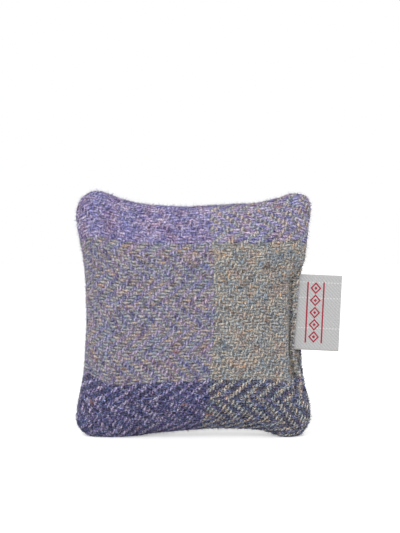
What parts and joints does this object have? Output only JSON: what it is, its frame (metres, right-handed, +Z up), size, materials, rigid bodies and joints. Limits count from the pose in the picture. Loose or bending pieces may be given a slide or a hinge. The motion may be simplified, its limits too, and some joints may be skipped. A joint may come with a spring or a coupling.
{
  "type": "lavender sachet",
  "caption": "Small stuffed square of herringbone tweed holding dried lavender in a muslin pouch, with a folded tape label in its side seam, standing on two pressed corners.",
  "frame": {"origin": "on the floor under the middle of the outside box, label included", "axes": "+Z up with the sachet standing on its lower corners, +X along the face towards the label, front face towards -Y"},
  "size_m": [0.1188, 0.034, 0.1109],
  "materials": {
    "tweed_front": "woollen herringbone twill in lavender, heather grey and indigo checks",
    "tweed_back": "woollen herringbone twill in lavender, heather grey and indigo checks",
    "sewing_thread": "spun polyester thread, dark navy",
    "label_tape": "pale grey woven satin tape",
    "muslin": "unbleached plain-weave cotton",
    "muslin_thread": "unbleached cotton thread",
    "lavender": "dried lavender buds"
  },
  "bodies": {
    "cushion": {"front_panel": "tweed_front", "back_panel": "tweed_back", "seam_needle_thread": "sewing_thread", "seam_bobbin_thread": "sewing_thread", "closing_needle_thread": "sewing_thread", "closing_bobbin_thread": "sewing_thread", "label_front_end": "label_tape", "label_back_end": "label_tape", "pouch_front": "muslin", "pouch_back": "muslin", "pouch_seam_thread": "muslin_thread", "lavender_fill": "lavender"},
    "label": {"label_flap": "label_tape"}
  },
  "joints": [
    {"name": "label_fold", "type": "hinge", "parent": "cushion", "child": "label", "pos_m": [0.04209, 0, 0.0562], "axis": [0, 0, 1], "range_deg": [-90, 90], "stiffness_Nm_per_rad": 0.0002}
  ]
}
